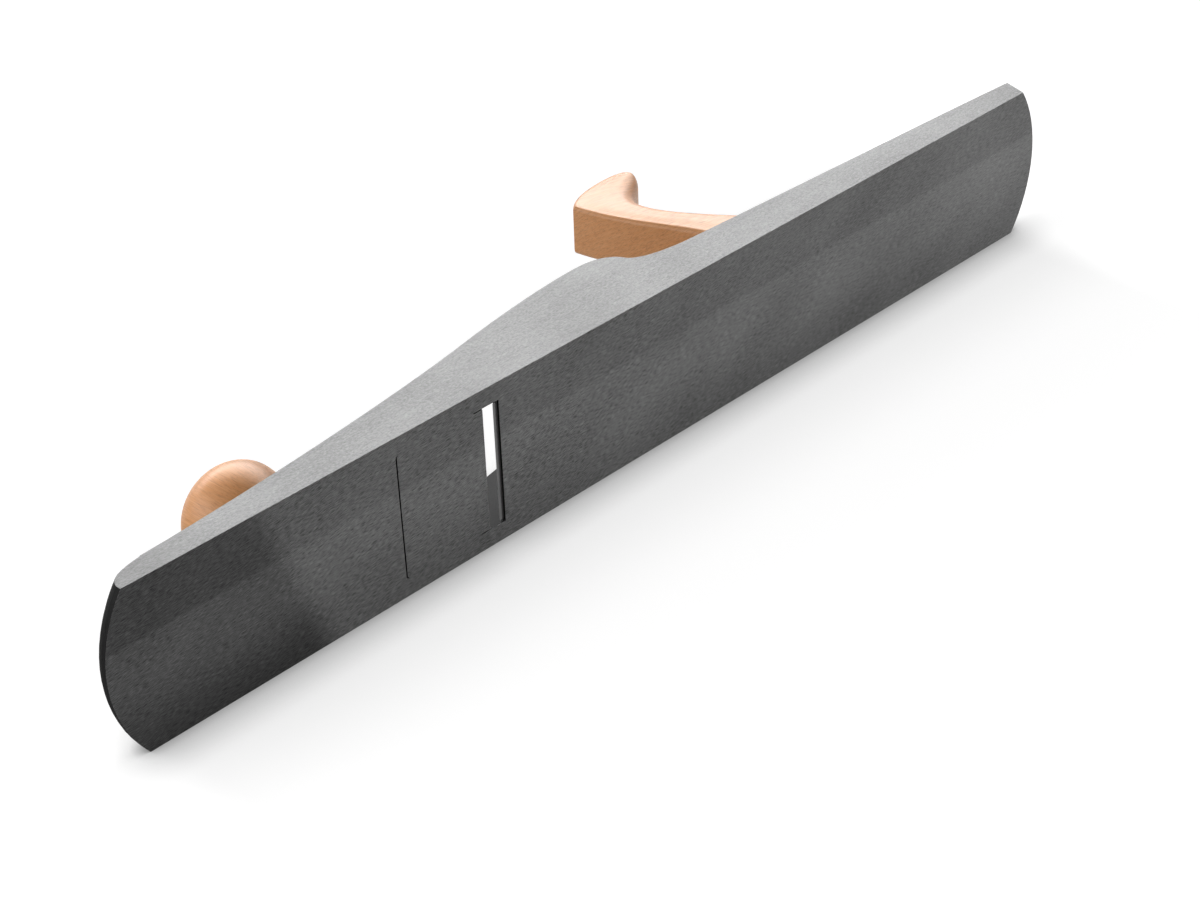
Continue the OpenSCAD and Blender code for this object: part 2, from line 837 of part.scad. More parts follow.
module adjuster_wheel() {
    color("goldenrod")
        lay()
            on_bed()
                translate([wheel_s0, 0, -spindle_d])
                    rotate([0, 90, 0])
                        difference() {
                            union() {
                                fluted_wheel(wheel_r, wheel_t, 48, 0.6);
                                translate([0, 0, -hub_t])
                                    cylinder(h = hub_t + 1, r = hub_r, $fn = fine);
                            }
                            translate([0, 0, -hub_t - over])
                                cylinder(h = hub_t + wheel_t + 2 * over, r = spindle_r, $fn = fine);
                            translate([0, 0, -hub_t / 2])
                                rotate([0, -90, 0])
                                    cylinder(h = hub_r + over, r = grub_r, $fn = fine);
                        }
}

module wheel_grub_screw() {
    color("dimgray")
        lay()
            on_bed()
                translate([wheel_s0 - hub_t / 2, 0, -spindle_d + spindle_r])
                    cylinder(h = hub_r - spindle_r - 0.4, r = grub_r, $fn = fine);
}

module adjuster_nut() {
    color("silver")
        lay()
            on_bed()
                translate([pin_s, 0, 0])
                    difference() {
                        translate([-nut_l / 2, -nut_w / 2, nut_bottom])
                            cube([nut_l, nut_w, nut_top - nut_bottom]);
                        translate([-nut_l / 2 - over, 0, -spindle_d])
                            rotate([0, 90, 0])
                                cylinder(h = nut_l + 2 * over, r = spindle_r + run_gap, $fn = fine);
                        translate([0, 0, -spindle_d + spindle_r + 0.6])
                            cylinder(h = spindle_d, r = pin_r, $fn = fine);
                    }
}

module adjuster_pin() {
    color("silver")
        lay()
            on_bed()
                translate([pin_s, 0, -spindle_d + spindle_r + 0.6])
                    cylinder(h = pin_top + spindle_d - spindle_r - 0.6, r = pin_r, $fn = fine);
}

// Handle outline, each point as [x, z, edge across, edge inward]; the flat base closes it
handle_points = concat(
    [
        for (s = handle_side)
            for (i = [0:handle_steps - 1])
                let (t = i / handle_steps, p = curve(s, t), e = t * t * (3 - 2 * t))
                    concat(p + [grip_x, 0], s[4] + (s[5] - s[4]) * e)
    ],
    [[grip_x + grip_l - 4, seat_h, 2, 2]]
);

// Direction out of the handle's outline at point i
function outward(i) =
    let (
        n = len(handle_points),
        a = handle_points[(i + n - 1) % n],
        b = handle_points[(i + 1) % n],
        d = [b[0] - a[0], b[1] - a[1]]
    )
        [-d[1], d[0]] / norm(d);

// Ring of the handle: turn from 0 at the waist of the rounding to 90 on the flat side
function handle_ring(turn, side) = [
    for (i = [0:len(handle_points) - 1])
        let (p = handle_points[i], q = [p[0], p[1]] - outward(i) * p[3] * (1 - cos(turn)))
            [q[0], side * (handle_t / 2 - handle_crown - p[2] * (1 - sin(turn))), q[1]]
];

// Middle of the handle's flat side between points i and n - 1 - i of a ring, raised by the crown
function handle_spine(ring, side) = [
    for (i = [1:(len(ring) - 3) / 2])
        let (m = (ring[i] + ring[len(ring) - 1 - i]) / 2)
            [m[0], side * handle_t / 2, m[2]]
];

// Faces of one flat side, from its ring's first point f and its spine's first point g
function side_faces(f, g, n) = concat(
    [[f + n - 1, f, g], [f, f + 1, g], [f + n - 2, f + n - 1, g]],
    [for (i = [1:(n - 5) / 2]) [f + i, f + i + 1, g + i - 1]],
    [for (i = [1:(n - 5) / 2]) [f + i + 1, g + i, g + i - 1]],
    [for (i = [1:(n - 5) / 2]) [f + n - 2 - i, f + n - 1 - i, g + i - 1]],
    [for (i = [1:(n - 5) / 2]) [f + n - 2 - i, g + i - 1, g + i]],
    [[f + (n - 3) / 2, f + (n - 1) / 2, g + (n - 5) / 2], [f + (n - 1) / 2, f + (n + 1) / 2, g + (n - 5) / 2]]
);

module handle_blank() {
    n = len(handle_points);
    turns = [for (k = [0:handle_rings]) 90 * k / handle_rings];
    rings = concat(
        [for (k = [handle_rings:-1:0]) handle_ring(turns[k], -1)],
        [for (k = [0:handle_rings]) handle_ring(turns[k], 1)]
    );
    last = len(rings) - 1;
    spines = concat(handle_spine(rings[0], -1), handle_spine(rings[last], 1));
    polyhedron(
        points = concat([for (r = rings) for (p = r) p], spines),
        faces = concat(
            [for (k = [0:last - 1]) for (i = [0:n - 1]) [k * n + i, k * n + (i + 1) % n, (k + 1) * n + i]],
            [for (k = [0:last - 1]) for (i = [0:n - 1])
                [k * n + (i + 1) % n, (k + 1) * n + (i + 1) % n, (k + 1) * n + i]],
            [for (f = side_faces(0, (last + 1) * n, n)) [f[2], f[1], f[0]]],
            side_faces(last * n, (last + 1) * n + len(spines) / 2, n)
        )
    );
}

// Directions of the handle rod: Z up along it from the handle's foot
module on_rod() {
    translate([rod_x, 0, seat_h])
        rotate([0, -rod_lean, 0])
            children();
}

module rear_handle() {
    color("burlywood")
        lay()
            difference() {
                handle_blank();
                on_rod() {
                    translate([0, 0, -10])
                        cylinder(h = 130, r = rod_r + 0.2, $fn = fine);
                    translate([0, 0, nut_seat - barrel_l - 1])
                        cylinder(h = 40, r = nut_barrel_r + 0.1, $fn = fine);
                    translate([0, 0, nut_seat])
                        cylinder(h = 40, r = nut_head_r + 0.1, $fn = fine);
                }
                translate([foot_screw_x, 0, seat_h - over])
                    cylinder(h = 40, r = foot_screw_r + 0.2, $fn = fine);
                translate([foot_screw_x, 0, foot_screw_seat])
                    cylinder(h = 40, r = foot_head_r + 0.3, $fn = fine);
            }
}

module handle_rod() {
    color("silver")
        lay()
            on_rod()
                translate([0, 0, -rod_foot])
                    cylinder(h = rod_foot + rod_l, r = rod_r, $fn = fine);
}

module handle_nut() {
    color("goldenrod")
        lay()
            on_rod()
                difference() {
                    union() {
                        translate([0, 0, nut_seat])
                            cylinder(h = nut_head_t, r = nut_head_r, $fn = fine);
                        translate([0, 0, nut_seat - barrel_l])
                            cylinder(h = barrel_l + 1, r = nut_barrel_r, $fn = fine);
                    }
                    translate([0, 0, nut_seat - barrel_l - over])
                        cylinder(h = rod_l - nut_seat + barrel_l + over, r = rod_r, $fn = fine);
                    translate([-nut_head_r - over, -0.8, nut_seat + nut_head_t - 1.6])
                        cube([2 * (nut_head_r + over), 1.6, 1.6 + over]);
                }
}

module foot_screw() {
    color("goldenrod")
        lay()
            translate([foot_screw_x, 0, 0])
                difference() {
                    union() {
                        translate([0, 0, thread_foot])
                            cylinder(h = foot_screw_seat - thread_foot + 1, r = foot_screw_r, $fn = fine);
                        translate([0, 0, foot_screw_seat])
                            cylinder(h = foot_head_t, r = foot_head_r, $fn = fine);
                    }
                    translate([-foot_head_r - over, -0.6, foot_screw_seat + foot_head_t - 1.1])
                        cube([2 * (foot_head_r + over), 1.2, 1.1 + over]);
                }
}

body_casting();
toe_plate();
toe_stop_screw();
knob_stud();
knob_washer();
knob_insert();
front_knob();
blade();
lever_cap();
lever_cap_screw();
cap_wheel();
cap_pad();
adjuster_post();
adjuster_spindle();
thrust_collar();
adjuster_wheel();
wheel_grub_screw();
adjuster_nut();
adjuster_pin();
rear_handle();
handle_rod();
handle_nut();
foot_screw();
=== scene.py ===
import math

import bmesh
import bpy
from mathutils import Matrix, Vector


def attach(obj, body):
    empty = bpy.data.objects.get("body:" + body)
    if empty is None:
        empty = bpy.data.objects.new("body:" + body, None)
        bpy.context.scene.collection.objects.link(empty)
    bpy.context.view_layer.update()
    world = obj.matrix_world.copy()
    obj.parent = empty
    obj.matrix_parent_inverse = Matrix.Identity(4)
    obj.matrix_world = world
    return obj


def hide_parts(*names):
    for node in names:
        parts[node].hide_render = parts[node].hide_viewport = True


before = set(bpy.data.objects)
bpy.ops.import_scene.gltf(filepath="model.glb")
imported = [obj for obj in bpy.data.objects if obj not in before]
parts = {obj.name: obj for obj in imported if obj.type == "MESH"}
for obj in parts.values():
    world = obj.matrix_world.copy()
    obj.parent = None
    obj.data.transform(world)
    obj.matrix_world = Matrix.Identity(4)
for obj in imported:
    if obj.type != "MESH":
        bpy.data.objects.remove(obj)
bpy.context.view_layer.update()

# The plane lies on its right cheek. X runs to the heel, Y out of its top, Z out of its left cheek.
mm = 0.001


# shader helpers

class Flow:
    # one socket of a shader tree, for writing shader maths as plain expressions
    def __init__(self, finish, socket):
        self.finish = finish
        self.socket = socket

    def work(self, operation, first, second=None):
        values = {0: first} if second is None else {0: first, 1: second}
        return self.finish.add("ShaderNodeMath", {"operation": operation}, values)

    def __add__(self, other):
        return self.work("ADD", self, other)

    def __radd__(self, other):
        return self.work("ADD", other, self)

    def __sub__(self, other):
        return self.work("SUBTRACT", self, other)

    def __rsub__(self, other):
        return self.work("SUBTRACT", other, self)

    def __mul__(self, other):
        return self.work("MULTIPLY", self, other)

    def __rmul__(self, other):
        return self.work("MULTIPLY", other, self)

    def __abs__(self):
        return self.work("ABSOLUTE", self)

    def __gt__(self, other):
        return self.work("GREATER_THAN", self, other)

    def __lt__(self, other):
        return self.work("LESS_THAN", self, other)

    def __or__(self, other):
        return self.work("MAXIMUM", self, other)

    def __and__(self, other):
        return self.work("MINIMUM", self, other)


class Tree:
    # a node tree that is written call by call
    def __init__(self, tree):
        self.tree = tree

    def apart(self, vector):
        return self.add("ShaderNodeSeparateXYZ", {}, {0: vector}, [0, 1, 2])

    def step(self, value, low, high):
        # 0 below low, 1 above high, smooth between
        ends = {"Value": value, "From Min": low, "From Max": high}
        return self.add("ShaderNodeMapRange", {"interpolation_type": "SMOOTHSTEP"}, ends)

    def add(self, kind, settings, values, out=0):
        # out is one output, or a list of them
        node = self.tree.nodes.new(kind)
        for key, value in settings.items():
            if key == "stops":
                ramp = node.color_ramp
                while len(ramp.elements) < len(value):
                    ramp.elements.new(1)
                for element, (place, shade) in zip(ramp.elements, value):
                    element.position = place
                    element.color = shade
            else:
                setattr(node, key, value)
        for socket, value in values.items():
            if isinstance(value, Flow):
                self.tree.links.new(value.socket, node.inputs[socket])
            else:
                node.inputs[socket].default_value = value
        if isinstance(out, list):
            return [Flow(self, node.outputs[k]) for k in out]
        return Flow(self, node.outputs[out]) if len(node.outputs) else None

    def seen(self, mirror):
        # 1 for rays straight from the camera or through glass, mirror for glossy reflections
        kinds = ["Is Camera Ray", "Is Glossy Ray", "Is Transmission Ray"]
        straight, gloss, through = self.add("ShaderNodeLightPath", {}, {}, kinds)
        return straight | through | gloss * mirror


class Finish(Tree):
    # a material with one Principled shader, built socket by socket
    def __init__(self, name, **constants):
        self.material = bpy.data.materials.new(name)
        self.material.use_nodes = True
        Tree.__init__(self, self.material.node_tree)
        self.shader = self.tree.nodes["Principled BSDF"]
        for socket, value in constants.items():
            self.shader.inputs[socket.replace("_", " ")].default_value = value

    def place(self):
        # the surface's own coordinates, in millimetres
        where = self.add("ShaderNodeTexCoord", {}, {}, "Object")
        return self.add("ShaderNodeVectorMath", {"operation": "SCALE"}, {0: where, "Scale": 1000})

    def facing(self):
        return self.apart(self.add("ShaderNodeTexCoord", {}, {}, "Normal"))

    def stretch(self, vector, scale, turn=(0, 0, 0)):
        # turned by the angles, then scaled; a small scale makes a long grain
        angles = [math.radians(a) for a in turn]
        spun = {"Vector": vector, "Rotation": angles}
        turned = self.add("ShaderNodeVectorRotate", {"rotation_type": "EULER_XYZ"}, spun)
        return self.add("ShaderNodeVectorMath", {"operation": "MULTIPLY"}, {0: turned, 1: scale})

    def grain(self, vector, scale=1, detail=2, roughness=0.5, distortion=0):
        return self.add("ShaderNodeTexNoise", {}, {
            "Vector": vector, "Scale": scale, "Detail": detail,
            "Roughness": roughness, "Distortion": distortion,
        })

    def ramp(self, value, stops):
        return self.add("ShaderNodeValToRGB", {"stops": stops}, {"Fac": value})

    def mix(self, factor, first, second):
        return self.add("ShaderNodeMix", {"data_type": "RGBA"}, {0: factor, 6: first, 7: second}, 2)

    def shade(self, level):
        # a grey colour from a value
        return self.add("ShaderNodeCombineColor", {}, {0: level, 1: level, 2: level})

    def bump(self, height, depth):
        relief = {"Height": height, "Strength": 1, "Distance": depth * mm}
        return self.add("ShaderNodeBump", {}, relief)

    def wear(self, **links):
        for socket, value in links.items():
            self.tree.links.new(value.socket, self.shader.inputs[socket.replace("_", " ")])
        return self.material


def grey(level):
    return (level, level, level, 1)


# finishes

groundLook = {
    "sole": 0.335, "cheek": 0.292, "metal": 0.15, "bump": 0.03,
    "soleUnder": 0.06, "cheekPast": 38.04, "edgePast": 33.4, "edgeEnd": 266, "bedSlack": 0.15,
    "strokeLength": 3.0, "strokeWidth": 0.28, "strokeTurn": 8, "strokeDepth": 2.1,
    "strokeStep": (-60, 120), "toeStrokes": 0.5, "cheekStrokes": 0.34, "strokeRough": (0.44, 0.14),
    "coarse": (0.07, 0.5, 0.5), "blotch": 0.35,
    "sweep": (0.016, 0.03, 0.03), "sweepTurn": 25, "sweepDepth": 0.55,
    # the end values on the next line paint shade on the cheeks' ends
    "mottle": (0.7, 1.5, 1.5), "mottleDepth": 1.3, "endShade": 0.15, "endStep": (170, 275),
    # the band, low and toe values paint light on the sole: a painted reflection's edge, and painted
    # shade along its lower edge and at the toe
    "bandTop": 13, "bandSoft": 1.2, "reflectionEdgeTone": 0.15, "lowEdgeShade": 0.30, "lowStep": (-38, 0),
    "toeShade": 0.40, "toeEnd": -192, "toeLean": 0.35, "toeSoft": 9,
    "enamelAndShade": 0.012, "enamelStep": (0.8, 0.4), "enamelRough": 0.58, "pits": 0.8, "pitDepth": 4,
}
bedLook = {"mouth": -83.2, "lip": 1.1, "angle": 12}


def groundIron(name):
    # bare ground iron on the sole, the cheeks, their upper edges and the bed; near-black enamel
    # elsewhere, which also paints shade on the lip's face, the seams, the mouth and the toe end
    look = groundLook
    f = Finish(name, Specular_IOR_Level=0.08)
    where = f.place()
    x, y, z = f.apart(where)
    ny = f.facing()[1]
    sole = y < look["soleUnder"]
    cheek = abs(z) > look["cheekPast"]
    topEdge = (abs(z) > look["edgePast"]) & (ny > 0.5) & (abs(x) < look["edgeEnd"])
    rise = math.tan(math.radians(bedLook["angle"]))
    bedHeight = y - (x - bedLook["mouth"]) * rise - bedLook["lip"]
    bed = (abs(bedHeight) < look["bedSlack"]) & (ny > 0.9)
    ground = sole | cheek | topEdge | bed
    turn = (0, look["strokeTurn"], 0)
    narrow = 1 / look["strokeWidth"]
    stretched = f.stretch(where, (1 / look["strokeLength"], narrow, narrow), turn)
    strokes = f.grain(stretched, 1, 2, 0.6, 0.3)
    coarse = f.grain(f.stretch(where, look["coarse"], turn), 1, 3, 0.6)
    mottle = f.grain(f.stretch(where, look["mottle"], turn), 1, 3, 0.7)
    sweep = f.grain(f.stretch(where, look["sweep"], (0, look["sweepTurn"], 0)), 1, 1)
    texture = 1 + look["blotch"] * (coarse - 0.5) + look["sweepDepth"] * (sweep - 0.5)
    # painted light on the sole: darker above one line, a painted reflection's edge, with painted
    # shade towards its lower edge and at the toe
    top, soft = look["bandTop"], look["bandSoft"]
    paintedSoleLight = 1 - look["reflectionEdgeTone"] * f.step(z, top - soft, top + soft)
    paintedSoleLight = paintedSoleLight - look["lowEdgeShade"] * (1 - f.step(z, *look["lowStep"]))
    toeEnd, toeSoft = look["toeEnd"], look["toeSoft"]
    # painted shade: the sole darkens towards the toe
    toeShadeMask = 1 - f.step(x + look["toeLean"] * z, toeEnd - toeSoft, toeEnd + toeSoft)
    paintedSoleLight = paintedSoleLight - look["toeShade"] * toeShadeMask
    towardToe = 1 - f.step(x, *look["strokeStep"])
    depth = look["strokeDepth"] * (1 + look["toeStrokes"] * towardToe)
    soleTone = look["sole"] * paintedSoleLight * (texture + depth * (strokes - 0.5))
    # painted shade: the cheeks grow darker towards both ends
    ends = 1 - look["endShade"] * f.step(abs(x), *look["endStep"])
    cheekDepth = look["cheekStrokes"] * look["strokeDepth"]
    cheekMarks = cheekDepth * (strokes - 0.5) + look["mottleDepth"] * (mottle - 0.5)
    cheekTone = look["cheek"] * ends * (texture + cheekMarks)
    tone = sole * soleTone + (1 - sole) * cheekTone
    # near-black skin: enamel, and painted shade on the lip's face, the seams and the toe end
    pits = f.grain(where, look["pits"], 4, 0.6)
    least, more = look["enamelStep"]
    skin = look["enamelAndShade"] * (least + more * pits)
    smooth, rougher = look["strokeRough"]
    rough = ground * (smooth + rougher * strokes) + (1 - ground) * look["enamelRough"]
    height = ground * strokes + (1 - ground) * pits * look["pitDepth"]
    shade = f.shade(ground * tone + (1 - ground) * skin)
    metal = ground * look["metal"]
    normal = f.bump(height, look["bump"])
    return f.wear(Base_Color=shade, Metallic=metal, Roughness=rough, Normal=normal)


steelLook = {
    "dark": 0.42, "light": 0.56, "metallic": 0.85, "rough": 0.34, "roughDepth": 0.12,
    "scale": (4.5, 0.35, 4.5), "bump": 0.006,
}


def latheSteel():
    look = steelLook
    f = Finish("turnedSteel", Metallic=look["metallic"])
    strokes = f.grain(f.stretch(f.place(), look["scale"]), 1, 3, 0.6)
    shade = f.ramp(strokes, [(0.3, grey(look["dark"])), (0.7, grey(look["light"]))])
    rough = look["rough"] + look["roughDepth"] * (strokes - 0.5)
    return f.wear(Base_Color=shade, Roughness=rough, Normal=f.bump(strokes, look["bump"]))


brassLook = {
    "dark": (0.50, 0.33, 0.12, 1), "light": (0.72, 0.52, 0.22, 1), "tarnish": 0.16,
    "lines": (0.5, 5, 5), "rough": 0.22, "bump": 0.006,
}


def turnedBrass():
    look = brassLook
    f = Finish("turnedBrass", Metallic=1.0)
    where = f.place()
    tarnish = f.grain(where, look["tarnish"], 4, 0.6)
    lines = f.grain(f.stretch(where, look["lines"]), 1, 2)
    shade = f.ramp(tarnish, [(0.3, look["dark"]), (0.7, look["light"])])
    rough = look["rough"] + look["rough"] * tarnish
    return f.wear(Base_Color=shade, Roughness=rough, Normal=f.bump(lines, look["bump"]))


# fine is the scale of the fibres, lines their strength
woodLook = {
    "pale": (0.83, 0.43, 0.20, 1), "mid": (0.75, 0.33, 0.12, 1), "line": (0.46, 0.18, 0.06, 1),
    "ring": 0.3, "fleck": 0.35, "bump": 0.012, "coat": 0.16, "coatRough": 0.3,
    "rough": (0.34, 0.16), "lineStep": (0.42, 0.76), "fleckStep": (0.60, 0.72),
    "handle": {
        "scale": (0.05, 0.9, 0.14), "turn": (-49, 0, 8), "fine": 3.0, "lines": 0.85,
        "shift": (0, 0, 0),
    },
    "knob": {
        "scale": (1.0, 0.04, 0.16), "turn": (0, 43, 0), "fine": 3.6, "lines": 0.75,
        "shift": (31, 12, 7),
    },
}


def oiledWood(name, cut):
    # scale is in cycles a millimetre; the small one lies along the grain
    look = woodLook
    coat = {"Coat_Weight": look["coat"], "Coat_Roughness": look["coatRough"]}
    f = Finish(name, Specular_IOR_Level=0.45, **coat)
    where = f.add("ShaderNodeVectorMath", {"operation": "ADD"}, {0: f.place(), 1: cut["shift"]})

    def fitted(part):
        return f.stretch(where, [part * s for s in cut["scale"]], cut["turn"])

    drift = f.grain(fitted(0.2), 1, 2)
    bands = {"wave_type": "BANDS", "bands_direction": "DIAGONAL"}
    ripple = {
        "Vector": fitted(0.3), "Scale": 1.0, "Distortion": 4.5, "Detail": 3.0, "Detail Scale": 1.6,
    }
    rings = f.add("ShaderNodeTexWave", bands, ripple, 1)
    fibre = f.grain(fitted(1), cut["fine"], 4, 0.72)
    fleck = f.step(f.grain(fitted(2.6), 1, 1), *look["fleckStep"])
    base = f.mix(rings * look["ring"] + drift * (1 - look["ring"]), look["pale"], look["mid"])
    lined = f.mix(f.step(fibre, *look["lineStep"]) * cut["lines"], base, look["line"])
    flecked = f.mix(fleck * look["fleck"], lined, look["line"])
    height = fibre * 0.6 - fleck * 0.4
    smooth, rougher = look["rough"]
    rough = smooth + rougher * fibre
    return f.wear(Base_Color=flecked, Roughness=rough, Normal=f.bump(height, look["bump"]))


plainLook = {
    "lappedSteel": {
        "dark": 0.34, "light": 0.42, "metallic": 0.3, "rough": 0.4, "scale": (0.3, 0.3, 3.5),
    },
    "machinedCap": {
        "dark": 0.27, "light": 0.35, "metallic": 0.35, "rough": 0.46, "scale": (0.35, 0.35, 3.0),
    },
    "roughDepth": 0.12, "bump": 0.012,
}


def plainGround(name):
    look = plainLook[name]
    f = Finish(name, Metallic=look["metallic"], Specular_IOR_Level=0.2)
    strokes = f.grain(f.stretch(f.place(), look["scale"]), 1, 3, 0.6, 0.3)
    shade = f.ramp(strokes, [(0.3, grey(look["dark"])), (0.7, grey(look["light"]))])
    rough = look["rough"] + plainLook["roughDepth"] * (strokes - 0.5)
    return f.wear(Base_Color=shade, Roughness=rough, Normal=f.bump(strokes, plainLook["bump"]))


iron = groundIron("groundIron")
steel = latheSteel()
brass = turnedBrass()
bladeSteel = plainGround("lappedSteel")
capMetal = plainGround("machinedCap")
handleWood = oiledWood("handleWood", woodLook["handle"])
knobWood = oiledWood("knobWood", woodLook["knob"])

dress = {
    "body_casting": iron, "toe_plate": iron, "toe_stop_screw": brass,
    "knob_stud": steel, "knob_washer": steel, "knob_insert": brass, "front_knob": knobWood,
    "blade": bladeSteel, "lever_cap": capMetal, "lever_cap_screw": steel,
    "cap_wheel": brass, "cap_pad": brass, "adjuster_post": steel, "adjuster_spindle": steel,
    "thrust_collar": steel, "adjuster_wheel": brass, "wheel_grub_screw": steel,
    "adjuster_nut": steel, "adjuster_pin": steel, "rear_handle": handleWood,
    "handle_rod": steel, "handle_nut": brass, "foot_screw": brass,
}
for name, part in parts.items():
    part.data.materials.clear()
    part.data.materials.append(dress[name])
print("finishes are on", len(parts), "parts")


# mesh helpers

def piece(name, build, material, body, slotName, *hidden, smooth=40):
    mesh = bpy.data.meshes.new(name)
    build.to_mesh(mesh)
    build.free()
    thing = bpy.data.objects.new(name, mesh)
    bpy.context.scene.collection.objects.link(thing)
    mesh.materials.append(material)
    mesh.shade_smooth()
    mesh.set_sharp_from_angle(angle=math.radians(smooth))
    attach(thing, body)
    if hidden:
        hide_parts(*hidden)
    return thing


def cubic(a, b, c, d, t):
    weights = ((1 - t) ** 3, 3 * t * (1 - t) ** 2, 3 * t * t * (1 - t), t ** 3)
    return [sum(w * point[k] for w, point in zip(weights, (a, b, c, d))) for k in range(2)]


def skin(build, rings, closeEnds=True):
    # faces between rings of points, in order
    rows = [[build.verts.new(p) for p in ring] for ring in rings]
    count = len(rings[0])
    for low, high in zip(rows, rows[1:]):
        for i in range(count):
            build.faces.new((low[i], low[(i + 1) % count], high[(i + 1) % count], high[i]))
    if closeEnds:
        build.faces.new(rows[0][::-1])
        build.faces.new(rows[-1])
    return rows


def tidyNormals(build):
    bmesh.ops.recalc_face_normals(build, faces=build.faces[:])


# the rear handle, smoother than the solid, with its two screw wells
handleLook = {
    "x": 83.42, "thick": 26, "crown": 0.4, "seat": 9, "steps": 20, "rings": 12, "across": 12,
    "rodFoot": 119.32, "rodLean": 14.3, "wellTop": 110, "wellRadius": 5.6, "wellLength": 40,
    "screwX": 92.02, "screwSeat": 19.5, "screwWell": 4.9,
}
# from the front of the foot: start, two pulls and end, then the edge's (across, inward) at each end
handleSide = [
    ((4.6, 9), (1.2, 9), (0, 11), (0, 15), (2, 2), (2, 2)),
    ((0, 15), (0, 27), (14.4, 24), (15.2, 43), (2, 2), (3.2, 2.6)),
    ((15.2, 43), (15.8, 60), (-5, 84), (-8.6, 116), (3.2, 2.6), (2.5, 1.8)),
    ((-8.6, 116), (-3.8, 121.4), (5.6, 128.6), (17.6, 129.8), (2.5, 1.8), (9, 8)),
    ((17.6, 129.8), (29.6, 130.7), (38.4, 128), (38.6, 120.6), (9, 8), (8, 4.7)),
    ((38.6, 120.6), (38.1, 113.5), (22.1, 111), (20.9, 99), (8, 4.7), (11.5, 10.5)),
    ((20.9, 99), (19.4, 84), (42.6, 58), (55.6, 38), (11.5, 10.5), (11, 10)),
    ((55.6, 38), (61.6, 28), (74.6, 28), (77.6, 20), (11, 10), (4, 3)),
    ((77.6, 20), (79.2, 16), (79.2, 9), (74.6, 9), (4, 3), (2, 2)),
]


def handleOutline():
    line = []
    for a, b, c, d, first, last in handleSide:
        for i in range(handleLook["steps"]):
            t = i / handleLook["steps"]
            ease = t * t * (3 - 2 * t)
            x, y = cubic(a, b, c, d, t)
            across, inward = [first[k] + (last[k] - first[k]) * ease for k in range(2)]
            line.append((handleLook["x"] + x, y, across, inward))
    foot = handleSide[-1][3]
    line.append((handleLook["x"] + foot[0], foot[1], 2, 2))
    return line


def handleRing(line, turn, side):
    # turn runs from 0 on the outline to 90 at the flat side
    sine, cosine = math.sin(math.radians(turn)), math.cos(math.radians(turn))
    half = handleLook["thick"] / 2 - handleLook["crown"]
    ring = []
    for i, (x, y, across, inward) in enumerate(line):
        ax, ay = line[i - 1][:2]
        bx, by = line[(i + 1) % len(line)][:2]
        dx, dy = bx - ax, by - ay
        inset = inward * (1 - cosine) / math.hypot(dx, dy)
        z = side * (half - across * (1 - sine))
        ring.append(Vector((x + dy * inset, y - dx * inset, z)) * mm)
    return ring


def crownedSide(build, ring, side):
    # fills a flat side from its ring, front against back, raised along the middle
    half, crown = handleLook["thick"] / 2 * mm, handleLook["crown"] * mm
    steps = handleLook["across"]
    count = len(ring)
    last = (count - 1) // 2
    rows = []
    for i in range(last):
        front, back = ring[i], ring[count - 1 - i]
        row = [front]
        for k in range(1, steps):
            u = k / steps
            spot = front.co.lerp(back.co, u)
            spot.z = side * (half - crown * (1 - (1 - (2 * u - 1) ** 2) ** 2))
            row.append(build.verts.new(spot))
        rows.append(row + [back])
    for low, high in zip(rows, rows[1:]):
        for k in range(steps):
            build.faces.new((low[k], low[k + 1], high[k + 1], high[k]))
    for k in range(steps):
        build.faces.new((rows[-1][k], rows[-1][k + 1], ring[last]))
    build.faces.new(rows[0])


def handleMesh():
    build = bmesh.new()
    line = handleOutline()
    turns = [90 * k / handleLook["rings"] for k in range(handleLook["rings"] + 1)]
    rings = [handleRing(line, turn, -1) for turn in turns[::-1]]
    rings += [handleRing(line, turn, 1) for turn in turns]
    rows = skin(build, rings, closeEnds=False)
    crownedSide(build, rows[0], -1)
    crownedSide(build, rows[-1], 1)
    bmesh.ops.remove_doubles(build, verts=build.verts[:], dist=1e-6)
    tidyNormals(build)
    return build


def stand(build, foot, way):
    # moves a shape made along Z so that its origin is at foot and it runs along way
    spin = Vector((0, 0, 1)).rotation_difference(way).to_matrix().to_4x4()
    bmesh.ops.transform(build, matrix=Matrix.Translation(foot * mm) @ spin, verts=build.verts[:])


def boreOut(thing, foot, lean, radius):
    # cuts a round well from foot, away from the sole and leaning to the toe by lean degrees
    length = handleLook["wellLength"]
    size = {"segments": 64, "radius1": radius * mm, "radius2": radius * mm, "depth": length * mm}
    tool = bmesh.new()
    bmesh.ops.create_cone(tool, cap_ends=True, **size)
    way = Vector((-math.sin(math.radians(lean)), math.cos(math.radians(lean)), 0))
    stand(tool, Vector((foot[0], foot[1], 0)) + way * length / 2, way)
    cutMesh = bpy.data.meshes.new("well")
    tool.to_mesh(cutMesh)
    tool.free()
    cutter = bpy.data.objects.new("well", cutMesh)
    bpy.context.scene.collection.objects.link(cutter)
    cut = thing.modifiers.new("well", "BOOLEAN")
    cut.operation = "DIFFERENCE"
    cut.solver = "EXACT"
    cut.object = cutter
    graph = bpy.context.evaluated_depsgraph_get()
    done = bpy.data.meshes.new_from_object(thing.evaluated_get(graph))
    thing.modifiers.clear()
    old = thing.data
    thing.data = done
    bpy.data.meshes.remove(old)
    bpy.data.objects.remove(cutter)
    bpy.data.meshes.remove(cutMesh)


